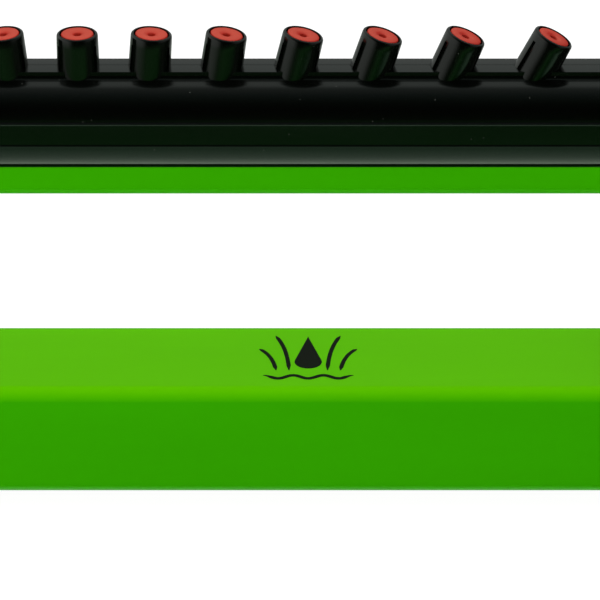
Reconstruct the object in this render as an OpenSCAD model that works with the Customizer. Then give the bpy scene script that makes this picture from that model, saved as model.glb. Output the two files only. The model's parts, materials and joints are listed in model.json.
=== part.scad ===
// Oscillating lawn sprinkler.
// X runs along the spray bar, from the end plug to the hose spigot, Y runs from front to back, and Z is up.
// The origin is on the ground, in the middle of the whole length, under the base beam.

/* [Spray bar] */
// Length of the spray bar's two shells
bar_len = 344; // [342:1:346]
// Height of the axis that the bar swings about, above the ground
axis_z = 103.5; // [102:0.5:106]
// Distance of the bar's middle from the middle of the whole sprinkler
bar_offset = 56.5; // [55:0.5:57]
// Wall thickness of the bar's shells
bar_wall = 2; // [1.6:0.1:2.4]

/* [Nozzles] */
// Nozzles on each side of the upright one in the middle
nozzles_per_side = 8; // [8]
// Lean from one nozzle to the next, in degrees
nozzle_step = 4.34; // [4:0.02:4.36]
// Distance from the bar's top to the point that all the nozzle axes run through
fan_radius = 229.6; // [220:0.2:230]
// Height of a nozzle tower above the bar's top
tower_h = 8.4; // [7:0.1:9]
// Outer radius of a nozzle tower
tower_r = 4.95; // [4.8:0.05:5]

/* [Base] */
// Width of the base beam
beam_w = 36; // [34:1:38]
// Height of the base beam
beam_h = 30.5; // [29:0.5:31]
// Height of the beam's underside above the ground
beam_z = 5.5; // [5:0.5:7]
// Length of a foot across the beam
foot_len = 190; // [180:2:210]
// Width of a foot along the beam
foot_w = 34; // [30:1:36]

/* [Drive] */
// Module of all the gear teeth
gear_module = 0.8; // [0.8]
// Teeth of the small pinions
pinion_teeth = 10; // [10]
// Teeth of the large gears of the compound pairs
wheel_teeth = 40; // [40]
// Teeth of the pinion that drives the spray bar
last_pinion_teeth = 12; // [12]
// Teeth of the gear on the spray bar's neck
bar_gear_teeth = 58; // [58]

/* [Hidden] */
$fn = 64;
tiny = 0.01;

// stations along X, from the end plug to the hose spigot
bar_x = -bar_offset;
bar_x0 = bar_x - bar_len / 2;
bar_x1 = bar_x + bar_len / 2;
plug_x0 = -262;
plug_x1 = -252.5;
post_x0 = -247;
post_x1 = -236;
beam_x0 = -246;
beam_x1 = 206;
housing_x0 = 131;
housing_x1 = 205;
cover_x0 = 205.8;
cover_x1 = 210;
pipe_x1 = 240;
spigot_x1 = 262;

// cross section of the spray bar, from its axis
strip_w = 8.4;
strip_top = 14;
shoulder_z = 12;
shoulder_r = 8.2;
shoulder_w = 24;
face_w = 24.8;
face_z = 3.4;
skirt_w = 25.4;
skirt_z = -2.1;
skirt_tilt = 3;
skirt_turn = 13;
upper_z0 = -6.94;
lower_z1 = -7.76;
lower_w = 24.6;
lower_z0 = -15.86;
end_wall = 3;

// nozzle tower and the soft insert in it
slot_w = 1.1;
slot_deep = 0.8;
slot_angle = 60;
slot_below_rim = 2.4;
insert_r = 4;
insert_seat_r = 4.25;
insert_head = 1.6;
insert_sink = 0.2;
insert_stem_r = 2.9;
insert_stem = 7;

// neck, trunnion and the rings on them
neck_r = 7;
neck_bore_r = 5;
collar_r = 9;
trunnion_r = 6;
plug_bore_r = 4.5;
ring_w = 4.6;
ring_a_x = 118.7;
ring_b_x = 124;
ring_r = 13;
thumb_r = 25;
dog_r = 21;
dog_angle = 95;
dog_half = 4.6;
lever_gap = 0.4;
thumb_angle = 28;
run_gap = 0.06;

// shafts of the drive, as [Y, Z]
shaft_r = 1.5;
shaft_1 = [-10, axis_z - 26.2];
shaft_2 = [10, axis_z - 26.2];
trip_axis = [0, axis_z - 45.5];
gear_bore_r = shaft_r + run_gap;
inlet_z = 66;
valve_x = 222.5;
nut_x0 = pipe_x1 - 9;
nut_x1 = pipe_x1 + 5;

// gear planes along X
bar_gear_x = 140;
bar_gear_w = 6;
mesh_b_x = 158;
mesh_a_x = 165;
wheel_w = 5;
plate_x = 172;
plate_w = 2.5;
case_x1 = 194;
jet_w = 3;
turbine_r = 15;
case_r = 17;

// housing section: two circles and a foot that narrows to the beam
house_r = 30;
house_low_z = axis_z - 26.5;
house_foot_w = 41;
house_wall = 2.6;
beam_top = beam_z + beam_h;
skirt_h = 6;

left_foot_x = -242;
right_foot_x = 176;
foot_tip_z = 10;
foot_root_z = 24;
foot_under = 1.5;
saddle = 3.5;
peg_y = foot_len / 2 - 12;
peg_r = 3.2;
pad_y = foot_len / 2 - 32;

nozzle_count = 2 * nozzles_per_side + 1;
// two-digit number of a nozzle, counted from the end plug
function two_digits(n) = n < 10 ? str("0", n) : str(n);

green = [0.33, 0.69, 0.0];
black = [0.03, 0.035, 0.03];
red = [0.8, 0.15, 0.1];
white = [0.9, 0.9, 0.86];
steel = [0.7, 0.71, 0.73];
rubber = [0.1, 0.1, 0.1];

// ---------- shared shapes ----------

// a flat shape drawn in Y and Z, extruded along X from x0 to x1
module along_x(x0, x1) {
    translate([x0, 0, 0]) rotate([90, 0, 90]) linear_extrude(x1 - x0) children();
}

// a round bar or hole along X, centred at [Y, Z]
module rod_x(x0, x1, r, at = [0, 0]) {
    translate([x0, at[0], at[1]]) rotate([0, 90, 0]) cylinder(h = x1 - x0, r = r);
}

// a tube along X
module tube_x(x0, x1, r_out, r_in, at = [0, 0]) {
    difference() {
        rod_x(x0, x1, r_out, at);
        rod_x(x0 - 1, x1 + 1, r_in, at);
    }
}

// rectangle with round corners, from its centre
module round_rect(w, h, r) {
    union() {
        square([w - 2 * r, h], center = true);
        square([w, h - 2 * r], center = true);
        for (sx = [-1, 1], sy = [-1, 1]) translate([sx * (w / 2 - r), sy * (h / 2 - r)]) circle(r);
    }
}

// two round bars along X joined by straight sides, which start a hair inside them so that the shapes cross cleanly
hair = 0.03;
module strap_x(x0, x1, p, rp, q, rq) {
    d = norm(q - p);
    a = atan2(q[1] - p[1], q[0] - p[0]);
    t = acos((rp - rq) / d);
    function on(c, r, deg) = c + (r - hair) * [cos(deg), sin(deg)];
    union() {
        rod_x(x0, x1, rp, p);
        rod_x(x0, x1, rq, q);
        along_x(x0, x1) polygon([on(p, rp, a + t), on(q, rq, a + t), on(q, rq, a - t), on(p, rp, a - t)]);
    }
}

// pan-head screw pointing along +Z, with its head's underside at the origin
module screw(r, len, head_r) {
    difference() {
        union() {
            translate([0, 0, -2.2]) cylinder(h = 2.2, r = head_r);
            translate([0, 0, -tiny]) cylinder(h = len, r = r);
        }
        for (turn = [0, 90]) rotate(turn) translate([-head_r * 0.6, -0.5, -3]) cube([head_r * 1.2, 1, 1.9]);
    }
}

// ---------- gear teeth ----------

pressure = 20;
backlash = 0.09;
function involute_deg(r, base) = r <= base ? 0 : sqrt(pow(r / base, 2) - 1) * 180 / PI - acos(base / r);
// half the angle of a tooth at radius r
function tooth_half(r, teeth) =
    let (pitch = teeth * gear_module / 2, base = pitch * cos(pressure))
    90 / teeth - backlash / pitch * 90 / PI + involute_deg(pitch, base) - involute_deg(r, base);
function polar(r, deg) = [r * cos(deg), r * sin(deg)];
function tooth_points(teeth, tip, root, at) =
    let (mid = teeth * gear_module / 2, gap = 180 / teeth)
    [polar(root, at - gap * 0.62), polar(root, at - tooth_half(root, teeth) * 1.02),
     polar(mid, at - tooth_half(mid, teeth)), polar(tip, at - tooth_half(tip, teeth)),
     polar(tip, at + tooth_half(tip, teeth)), polar(mid, at + tooth_half(mid, teeth)),
     polar(root, at + tooth_half(root, teeth) * 1.02)];

// outline of a gear with one tooth at start degrees; addendum is in modules
module gear_outline(teeth, start, addendum) {
    pitch = teeth * gear_module / 2;
    polygon([for (k = [0:teeth - 1]) each tooth_points(
        teeth, pitch + addendum * gear_module, pitch - 1.25 * gear_module, start + 360 * k / teeth)]);
}

// gear along X at [Y, Z]; faces is the direction of its partner, and shift puts a gap there in place of a tooth
module gear_x(x0, x1, at, teeth, faces, shift, addendum) {
    translate([x0, at[0], at[1]]) rotate([90, 0, 90]) linear_extrude(x1 - x0)
        gear_outline(teeth, faces + (shift ? 180 / teeth : 0), addendum);
}
wheel_add = 0.58;
pinion_add = 0.95;
// directions from one shaft to another
dir_12 = atan2(shaft_2[1] - shaft_1[1], shaft_2[0] - shaft_1[0]);
dir_21 = dir_12 + 180;
dir_1_bar = atan2(axis_z - shaft_1[1], -shaft_1[0]);
dir_bar_1 = dir_1_bar + 180;

// ---------- spray bar ----------

// half-round shoulders under the raised strip, drawn from the bar's axis
module shoulders(r, w, top) {
    for (s = [-1, 1]) translate([s * (w / 2 - r), top - r]) circle(r);
    translate([-w / 2 + r, 0]) square([w - 2 * r, top]);
    translate([-w / 2, skirt_z]) square([w, top - r - skirt_z]);
}

// skirt below the flat face: one side's curve, which turns steadily further under
skirt_steps = 10;
skirt_radius = (skirt_z - upper_z0) / (sin(skirt_tilt + skirt_turn) - sin(skirt_tilt));
function skirt_point(k) =
    let (turn = skirt_tilt + skirt_turn * k / skirt_steps)
    [skirt_w / 2 - skirt_radius * (cos(skirt_tilt) - cos(turn)),
     skirt_z - skirt_radius * (sin(turn) - sin(skirt_tilt))];

module upper_outline() {
    side = [for (k = [0:skirt_steps]) skirt_point(k)];
    difference() {
        union() {
            shoulders(shoulder_r, shoulder_w, shoulder_z);
            translate([-strip_w / 2, 0]) square([strip_w, strip_top]);
            translate([-face_w / 2, skirt_z - 1]) square([face_w, face_z - skirt_z + 1]);
            polygon(concat(side, [for (k = [skirt_steps:-1:0]) [-side[k][0], side[k][1]]]));
        }
        // hair line along the strip
        translate([-0.2, strip_top - 0.15]) square([0.4, 1]);
    }
}

module upper_hollow() {
    r = shoulder_r - bar_wall;
    w = shoulder_w - 2 * bar_wall;
    shoulders(r, w, shoulder_z - bar_wall);
    translate([-w / 2, upper_z0 - 1]) square([w, skirt_z - upper_z0 + 2]);
}

// lean and place of nozzle n, counted from the end plug
function lean(n) = (n - 1 - nozzles_per_side) * nozzle_step;
module at_nozzle(n) {
    translate([bar_x + fan_radius * tan(lean(n)), 0, axis_z + strip_top]) rotate([0, lean(n), 0]) children();
}

module nozzle_tower() {
    translate([0, 0, -5]) cylinder(h = 5 + tower_h - 0.5, r1 = tower_r + 0.25, r2 = tower_r);
    translate([0, 0, tower_h - 0.5]) cylinder(h = 0.5, r1 = tower_r, r2 = tower_r - 0.4);
}

module nozzle_bores() {
    translate([0, 0, tower_h - insert_sink - insert_head]) cylinder(h = 5, r = insert_seat_r);
    translate([0, 0, -12]) cylinder(h = 12 + tower_h, r = insert_stem_r);
    for (a = [-slot_angle, slot_angle, 180 - slot_angle, 180 + slot_angle])
        rotate([0, 0, a - 90]) translate([tower_r - slot_deep, -slot_w / 2, 0])
            cube([3, slot_w, tower_h - slot_below_rim]);
}

module bar_upper_shell() {
    color(black) difference() {
        union() {
            translate([0, 0, axis_z]) along_x(bar_x0, bar_x1) upper_outline();
            for (n = [1:nozzle_count]) at_nozzle(n) nozzle_tower();
        }
        translate([0, 0, axis_z]) along_x(bar_x0 + end_wall, bar_x1 - end_wall) upper_hollow();
        for (n = [1:nozzle_count]) at_nozzle(n) nozzle_bores();
        rod_x(bar_x0 - 1, bar_x1 + 1, neck_bore_r, [0, axis_z]);
    }
}

module bar_lower_shell() {
    corner = 2.6;
    depth = lower_z1 - lower_z0;
    color(green) translate([0, 0, axis_z]) difference() {
        along_x(bar_x0, bar_x1) difference() {
            translate([0, lower_z0 + depth]) round_rect(lower_w, 2 * depth, corner);
            translate([-lower_w, lower_z1]) square([2 * lower_w, depth + 1]);
        }
        along_x(bar_x0 + end_wall, bar_x1 - end_wall) {
            w = lower_w - 2 * bar_wall;
            translate([-w / 2, lower_z0 + bar_wall]) square([w, depth]);
        }
    }
}

module bar_gasket() {
    seal_w = lower_w - 2.4;
    color(rubber) translate([0, 0, axis_z + lower_z1]) difference() {
        translate([bar_x0 + 0.8, -seal_w / 2, 0]) cube([bar_len - 1.6, seal_w, upper_z0 - lower_z1]);
        translate([bar_x0 + end_wall, -9.5, -1]) cube([bar_len - 2 * end_wall, 19, 3]);
    }
}

module bar_trunnion() {
    color(black) difference() {
        union() {
            rod_x(bar_x0 - 2.5, bar_x0, 10, [0, axis_z]);
            rod_x(plug_x1 + 0.3, bar_x0 - 2, trunnion_r, [0, axis_z]);
        }
        rod_x(plug_x1 - 1, bar_x0 + 1, plug_bore_r, [0, axis_z]);
    }
}

module bar_neck() {
    color(black) difference() {
        union() {
            rod_x(bar_x1, bar_x1 + 2, 11, [0, axis_z]);
            rod_x(bar_x1 + 1, 129.2, collar_r, [0, axis_z]);
            rod_x(129, 151, neck_r, [0, axis_z]);
        }
        rod_x(bar_x1 - 1, 152, neck_bore_r, [0, axis_z]);
        tube_x(147.2, 148.2, neck_r + 1, neck_r - 0.7, [0, axis_z]);
    }
}

module bar_gear() {
    color(white) difference() {
        union() {
            gear_x(bar_gear_x, bar_gear_x + bar_gear_w, [0, axis_z], bar_gear_teeth, dir_bar_1, true, wheel_add);
            rod_x(bar_gear_x - 1, bar_gear_x + bar_gear_w + 1, 10, [0, axis_z]);
        }
        rod_x(bar_gear_x - 2, bar_gear_x + bar_gear_w + 2, neck_r, [0, axis_z]);
        // ring groove on each face, which leaves a thin web
        for (x = [bar_gear_x - tiny, bar_gear_x + bar_gear_w - 1.5 + tiny])
            tube_x(x, x + 1.5, 20, 12.5, [0, axis_z]);
    }
}

module neck_clip() {
    color(steel) difference() {
        tube_x(147.3, 148.1, neck_r + 2.4, neck_r - 0.6, [0, axis_z]);
        translate([147, -3.4, axis_z - 12]) cube([2, 6.8, 12]);
    }
}

// soft nozzle with a funnel at its mouth
module nozzle_insert(n) {
    head_z = tower_h - insert_sink;
    color(red) at_nozzle(n) rotate_extrude() polygon([
        [0.5, head_z - 1.5], [1.0, head_z - 1.1], [1.7, head_z - 0.5], [2.1, head_z - 0.12], [2.5, head_z],
        [insert_r - 0.25, head_z], [insert_r, head_z - 0.25], [insert_r, head_z - insert_head],
        [insert_stem_r, head_z - insert_head], [insert_stem_r, head_z - insert_stem],
        [2.2, head_z - insert_stem - 1], [1.6, head_z - insert_stem - 1], [1.6, head_z - 3.4], [0.5, head_z - 2.4]]);
}

// ---------- end plug ----------

module end_plug() {
    color(red) difference() {
        union() {
            rod_x(plug_x0 + 1, plug_x1, 10, [0, axis_z]);
            rod_x(plug_x0, plug_x0 + 1.01, 9, [0, axis_z]);
            rod_x(plug_x1 - 1, bar_x0 - 13, plug_bore_r - 0.1, [0, axis_z]);
            // grip ribs round the cap
            for (a = [0:30:330]) translate([plug_x0 + 1, 0, axis_z]) rotate([a, 0, 0])
                translate([0, -0.9, 9]) cube([plug_x1 - plug_x0 - 2.5, 1.8, 1.9]);
        }
        // groove for the sealing ring, and the hole that holds the pin
        tube_x(bar_x0 - 18.2, bar_x0 - 16, plug_bore_r + 1, 3.3, [0, axis_z]);
        rod_x(bar_x0 - 20, bar_x0, 0.5, [0, axis_z]);
    }
}

module cleaning_pin() {
    color(steel) {
        rod_x(bar_x0 - 20, bar_x0 + 12, 0.5, [0, axis_z]);
        translate([bar_x0 + 12 - tiny, 0, axis_z]) rotate([0, 90, 0]) cylinder(h = 1.5, r1 = 0.5, r2 = 0.12);
    }
}

module plug_oring() {
    color(rubber) translate([bar_x0 - 17.1, 0, axis_z]) rotate([0, 90, 0]) rotate_extrude()
        translate([3.88, 0]) circle(r = 0.57, $fn = 32);
}

// ---------- range rings and the lever that they trip ----------

// side is 1 for the ring whose dog sits at the front, and -1 for its mirror image at the back
module range_ring(x0, side) {
    color(red) translate([0, 0, axis_z]) difference() {
        union() {
            rod_x(x0, x0 + ring_w, ring_r);
            rotate([side * thumb_angle, 0, 0]) {
                translate([x0, -3, ring_r - 2]) cube([ring_w, 6, thumb_r - ring_r]);
                rod_x(x0, x0 + ring_w, 3.4, [0, thumb_r - 2.4]);
                // grip ridges on the thumb piece
                for (y = [-1.8, 0, 1.8]) translate([x0, y - 0.4, thumb_r + 0.2]) cube([ring_w, 0.8, 1.2]);
            }
            rotate([side * dog_angle, 0, 0]) along_x(x0, x0 + ring_w) polygon([
                for (p = [[ring_r - 2, -1.4], [dog_r, -1], [dog_r, 1], [ring_r - 2, 1.4]])
                    p[0] * [sin(p[1] * dog_half), cos(p[1] * dog_half)]]);
        }
        rod_x(x0 - 1, x0 + ring_w + 1, collar_r + run_gap);
    }
}
module range_ring_a() { range_ring(ring_a_x, 1); }
module range_ring_b() { range_ring(ring_b_x, -1); }

module trip_lever() {
    tip = [0, axis_z - dog_r - lever_gap - 1.9];
    color(red) difference() {
        union() {
            strap_x(ring_a_x, ring_b_x + ring_w, trip_axis, 4.2, tip, 1.9);
            rod_x(ring_a_x, 130.4, 4.4, trip_axis);
        }
        rod_x(ring_a_x - 1, 131, shaft_r, trip_axis);
    }
}

// spindle that carries the lever's swing to the flap between the two jets
module diverter_flap() {
    color(white) {
        rod_x(ring_a_x, 202, shaft_r, trip_axis);
        strap_x(197.6, 201, trip_axis, 3.2, [-2.2, 70.6], 2.6);
    }
}

// ---------- drive ----------

module turbine() {
    blades = 12;
    color(white) difference() {
        union() {
            rod_x(plate_x + 1, 193, 3.4, shaft_1);
            rod_x(178, 192.6, 6.5, shaft_1);
            for (k = [0:blades - 1]) translate([178, shaft_1[0], shaft_1[1]]) rotate([360 * k / blades, 0, 0])
                translate([0, -0.6, 6]) cube([14.6, 1.2, turbine_r - 6]);
            gear_x(mesh_a_x - 0.6, plate_x + plate_w, shaft_1, pinion_teeth, dir_12, false, pinion_add);
        }
        rod_x(mesh_a_x - 2, 195, gear_bore_r, shaft_1);
    }
}

// large gear and small pinion in one piece
module compound(at, x_wheel, wheel_faces, x_pinion0, x_pinion1, teeth, pinion_faces) {
    color(white) difference() {
        union() {
            gear_x(x_wheel, x_wheel + wheel_w, at, wheel_teeth, wheel_faces, true, wheel_add);
            gear_x(x_pinion0, x_pinion1, at, teeth, pinion_faces, false, pinion_add);
        }
        rod_x(x_pinion0 - 1, x_wheel + wheel_w + 1, gear_bore_r, at);
    }
}
module gear_a() { compound(shaft_2, mesh_a_x, dir_21, mesh_b_x - 0.4, mesh_a_x + 1, pinion_teeth, dir_21); }
module gear_b() { compound(shaft_1, mesh_b_x, dir_12, bar_gear_x - 1, mesh_b_x + 1, last_pinion_teeth, dir_1_bar); }

module gear_shafts() {
    color(steel) {
        rod_x(housing_x0 + 2, case_x1 + 1, shaft_r, shaft_1);
        rod_x(housing_x0 + 2, plate_x + plate_w, shaft_r, shaft_2);
    }
}

module gear_plate() {
    color(white) difference() {
        house_block(plate_x, plate_x + plate_w, house_r - house_wall - 0.15, house_foot_w - 2 * house_wall - 0.6,
                    beam_top + 4);
        rod_x(plate_x - 1, plate_x + plate_w + 1, 5.4, shaft_1);
        rod_x(plate_x - 1, plate_x + plate_w + 1, shaft_r, shaft_2);
        rod_x(plate_x - 1, plate_x + plate_w + 1, shaft_r + 0.3, trip_axis);
        // water passages to the neck
        for (y = [-12, 0, 12]) rod_x(plate_x - 1, plate_x + plate_w + 1, 4, [y, axis_z + 8]);
    }
}

module turbine_case() {
    color(white) difference() {
        rod_x(plate_x + plate_w, case_x1, case_r, shaft_1);
        rod_x(plate_x + plate_w - 1, case_x1 + 1, turbine_r + 0.6, shaft_1);
        // outlet window at the top
        translate([plate_x + plate_w + 2, shaft_1[0] - 6, shaft_1[1] + 10]) cube([9, 12, 10]);
    }
}

module jet_plate() {
    color(white) difference() {
        strap_x(case_x1, case_x1 + jet_w, shaft_1, case_r, trip_axis, 6.5);
        rod_x(case_x1 - 1, case_x1 + 1, shaft_r, shaft_1);
        rod_x(case_x1 - 1, case_x1 + jet_w + 1, shaft_r + 0.15, trip_axis);
        for (y = [-6, 1.6]) rod_x(case_x1 - 1, case_x1 + jet_w + 1, 1.2, [y, 70.6]);
    }
}

// ---------- housing ----------

// round-topped block that narrows to the beam, w wide at z0
module house_block(x0, x1, r, w, z0) {
    d = norm([w / 2, house_low_z - z0]);
    a = atan2(z0 - house_low_z, w / 2) + acos(r / d);
    side = (r - hair) * [cos(a), sin(a)] + [0, house_low_z];
    union() {
        rod_x(x0, x1, r, [0, axis_z]);
        rod_x(x0, x1, r, [0, house_low_z]);
        translate([x0, -r, house_low_z]) cube([x1 - x0, 2 * r, axis_z - house_low_z]);
        along_x(x0, x1) polygon([side, [w / 2, z0], [-w / 2, z0], [-side[0], side[1]]]);
    }
}

cover_screw_at = [[-15.5, axis_z + 18.5], [15.5, axis_z + 18.5], [-16, beam_top + 8.5], [16, beam_top + 8.5]];

module housing_shell() {
    color(black) difference() {
        union() {
            difference() {
                union() {
                    house_block(housing_x0, housing_x1, house_r, house_foot_w, beam_top);
                    translate([housing_x0, -house_foot_w / 2, beam_top - skirt_h])
                        cube([housing_x1 - housing_x0, house_foot_w, skirt_h + 1]);
                }
                house_block(housing_x0 + 4, housing_x1 + 1, house_r - house_wall, house_foot_w - 2 * house_wall,
                            beam_top + 3.5);
            }
            // bosses for the neck, the shafts, the gear plate and the cover's screws
            rod_x(housing_x0 - 1, housing_x0 + 5.5, 12, [0, axis_z]);
            for (at = [shaft_1, shaft_2, trip_axis]) rod_x(housing_x0 + 2, housing_x0 + 6.5, 4, at);
            for (s = [-1, 1]) rod_x(housing_x0 + 2, plate_x, 3, [s * 19.5, trip_axis[1] - 2]);
            for (at = cover_screw_at) rod_x(housing_x1 - 20, housing_x1, 4, at);
        }
        // the beam passes under the skirts
        translate([housing_x0 - 5, -beam_w / 2, 0]) cube([100, beam_w, beam_top]);
        rod_x(housing_x0 - 5, housing_x0 + 8, 9.4, [0, axis_z]);
        for (at = [shaft_1, shaft_2]) rod_x(housing_x0 + 2, housing_x0 + 8, shaft_r, at);
        rod_x(housing_x0 - 2, housing_x0 + 8, shaft_r + run_gap, trip_axis);
        for (at = cover_screw_at) rod_x(housing_x1 - 15, housing_x1 + 1, 1.5, at);
        for (x = [146, 192]) translate([x, 0, beam_top - 1]) cylinder(h = 6, r = 1.6);
    }
}

module cover_gasket() {
    color(rubber) difference() {
        house_block(housing_x1, cover_x0, house_r - 0.5, house_foot_w - 1, beam_top + 0.5);
        house_block(housing_x1 - 1, cover_x0 + 1, house_r - house_wall, house_foot_w - 2 * house_wall, beam_top + 3.5);
    }
}

module housing_cover() {
    color(green) difference() {
        union() {
            house_block(cover_x0, cover_x1, house_r, house_foot_w, beam_top);
            rod_x(cover_x1 - 1, pipe_x1 - 9, 12, [0, inlet_z]);
            rod_x(pipe_x1 - 9.5, pipe_x1, 11, [0, inlet_z]);
            // thread ridges that the hose adapter screws onto
            for (x = [pipe_x1 - 8:2.5:pipe_x1 - 2]) rod_x(x, x + 1.2, 11.6, [0, inlet_z]);
            // valve tower, and a rib that ties it to the cover
            translate([valve_x, 0, inlet_z]) cylinder(h = 17, r = 8.2);
            translate([cover_x1 - 1, -1.5, inlet_z + 8]) cube([valve_x - cover_x1, 3, 8]);
        }
        rod_x(cover_x0 - 1, pipe_x1 + 1, 5.5, [0, inlet_z]);
        translate([valve_x, 0, inlet_z - 7.5]) cylinder(h = 40, r = 6);
        for (at = cover_screw_at) {
            rod_x(cover_x0 - 1, cover_x1 + 1, 2, at);
            rod_x(cover_x1 - 1.6, cover_x1 + 1, 4, at);
        }
    }
}

module cover_screws() {
    color(steel) for (at = cover_screw_at) translate([cover_x1 - 1.6, at[0], at[1]]) rotate([0, -90, 0]) screw(1.5, 16, 3.6);
}

module neck_bush() {
    color(white) difference() {
        union() {
            rod_x(housing_x0 - 1.6, housing_x0 + 3, 9.4, [0, axis_z]);
            rod_x(housing_x0 - 1.6, housing_x0 - 1, 10.4, [0, axis_z]);
        }
        rod_x(housing_x0 - 3, housing_x0 + 8, neck_r + run_gap, [0, axis_z]);
    }
}

module neck_washer() {
    color(white) difference() {
        union() {
            rod_x(housing_x0 + 4.6, housing_x0 + 6, 9.4, [0, axis_z]);
            rod_x(housing_x0 + 5.5, housing_x0 + 7, 11.5, [0, axis_z]);
        }
        rod_x(housing_x0 - 3, housing_x0 + 8, neck_r + run_gap, [0, axis_z]);
    }
}

module neck_seal() {
    color(rubber) tube_x(housing_x0 + 3, housing_x0 + 4.6, 9.4, neck_r + run_gap, [0, axis_z]);
}

// ---------- inlet ----------

module valve_plug() {
    color(white) difference() {
        translate([valve_x, 0, inlet_z - 7.4]) cylinder(h = 7.4 + 18.6, r = 5.94);
        rod_x(valve_x - 10, valve_x + 10, 4.2, [0, inlet_z]);
    }
}

module flow_knob() {
    knob_z = inlet_z + 17.4;
    color(red) translate([valve_x, 0, knob_z]) difference() {
        union() {
            cylinder(h = 9, r = 10.2);
            translate([0, 0, 9 - tiny]) cylinder(h = 1.2, r1 = 10.2, r2 = 9);
            for (a = [0:30:330]) rotate(a) translate([9.6, -0.9, 0]) cube([1.5, 1.8, 8.6]);
            // pointer on the top, across the water way when the valve is shut
            translate([-8, -1.6, 10]) cube([16, 3.2, 1.6]);
        }
        translate([0, 0, -1]) cylinder(h = 2.2, r = 5.94);
    }
}

// union nut with a collar, which screws onto the pipe
module hose_adapter() {
    color(black) difference() {
        union() {
            rod_x(nut_x0, nut_x1, 15.6, [0, inlet_z]);
            for (a = [0:30:330]) translate([nut_x0, 0, inlet_z]) rotate([a, 0, 0])
                translate([0, -1.3, 14.6]) cube([12, 2.6, 2]);
            rod_x(nut_x1 - 1, nut_x1 + 3, 11.6, [0, inlet_z]);
            rod_x(nut_x1 + 2, nut_x1 + 6, 10.4, [0, inlet_z]);
        }
        rod_x(nut_x0 - 1, pipe_x1 + 1.6, 11.65, [0, inlet_z]);
        rod_x(nut_x0, nut_x1 + 7, 8.6, [0, inlet_z]);
    }
}

module hose_tail() {
    color(black) difference() {
        union() {
            rod_x(pipe_x1 + 1.6, nut_x1 + 6, 8.6, [0, inlet_z]);
            rod_x(nut_x1 + 5, spigot_x1 - 1, 8, [0, inlet_z]);
            translate([spigot_x1 - 1 - tiny, 0, inlet_z]) rotate([0, 90, 0]) cylinder(h = 1 + tiny, r1 = 8, r2 = 7);
        }
        rod_x(pipe_x1, spigot_x1 + 1, 5.5, [0, inlet_z]);
    }
}

module adapter_washer() {
    color(rubber) tube_x(pipe_x1, pipe_x1 + 1.6, 11.5, 6.2, [0, inlet_z]);
}

// sieve with a rim, which sits in the washer
module inlet_filter() {
    color(steel) difference() {
        rod_x(pipe_x1 + 0.2, pipe_x1 + 1.4, 6.1, [0, inlet_z]);
        for (y = [-3.2:1.6:3.2], z = [-3.2:1.6:3.2]) if (norm([y, z]) < 4.6)
            rod_x(pipe_x1 - 1, pipe_x1 + 3, 0.5, [y, inlet_z + z]);
    }
}

// ---------- base ----------

module base_beam() {
    wall = 2.4;
    color(green) difference() {
        translate([0, 0, beam_z + beam_h / 2]) along_x(beam_x0, beam_x1) difference() {
            round_rect(beam_w, beam_h, 3.3);
            round_rect(beam_w - 2 * wall, beam_h - 2 * wall, 1.2);
        }
        for (x = [146, 192]) translate([x, 0, -1]) cylinder(h = 60, r = 1.8);
        for (s = [-1, 1]) translate([(post_x0 + post_x1) / 2, s * 9, -1]) cylinder(h = 60, r = 1.8);
        for (x = [left_foot_x + 12, right_foot_x - 6, right_foot_x + 6], s = [-1, 1])
            translate([x, s * 9, -1]) cylinder(h = 12, r = 1.4);
    }
}

module beam_caps() {
    wall = 2.4;
    color(black) for (end = [[beam_x0 - 2.4, beam_x0, beam_x0 + 2.6], [beam_x1 + 2.4, beam_x1, beam_x1 - 8]]) {
        translate([0, 0, beam_z + beam_h / 2]) {
            along_x(min(end[0], end[1]), max(end[0], end[1])) round_rect(beam_w, beam_h, 3.3);
            along_x(min(end[1], end[2]), max(end[1], end[2])) difference() {
                round_rect(beam_w - 2 * wall, beam_h - 2 * wall, 1.2);
                round_rect(beam_w - 4 * wall, beam_h - 4 * wall, 1);
            }
        }
    }
}

// half of a foot's outline in Y and Z, drawn inset by t
function foot_half(t) =
    let (tip = foot_len / 2 - t)
    [[0, foot_root_z - t], [beam_w / 2 + saddle - t + 1, foot_root_z - t], [beam_w / 2 + saddle + 10, foot_root_z - 3.5 - t],
     [pad_y - 8, foot_tip_z + 1.2 - t], [peg_y - 10, foot_tip_z - t], [tip - 2.5, foot_tip_z - t], [tip, foot_tip_z - 2.5 - t]];

module foot_outline(t) {
    half = foot_half(t);
    base = t > 0 ? -1 : foot_under;
    right = concat(half, [[half[6][0], base]]);
    polygon(concat(right, [for (k = [7:-1:0]) [-right[k][0], right[k][1]]]));
}

module foot_plan(t) {
    union() {
        square([foot_w - 2 * t, beam_w + 2 * saddle + 8 - 2 * t], center = true);
        for (s = [-1, 1]) translate([0, s * (foot_len / 2 - foot_w / 2)]) circle(r = foot_w / 2 - t);
        square([foot_w - 2 * t, foot_len - foot_w], center = true);
    }
}

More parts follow.
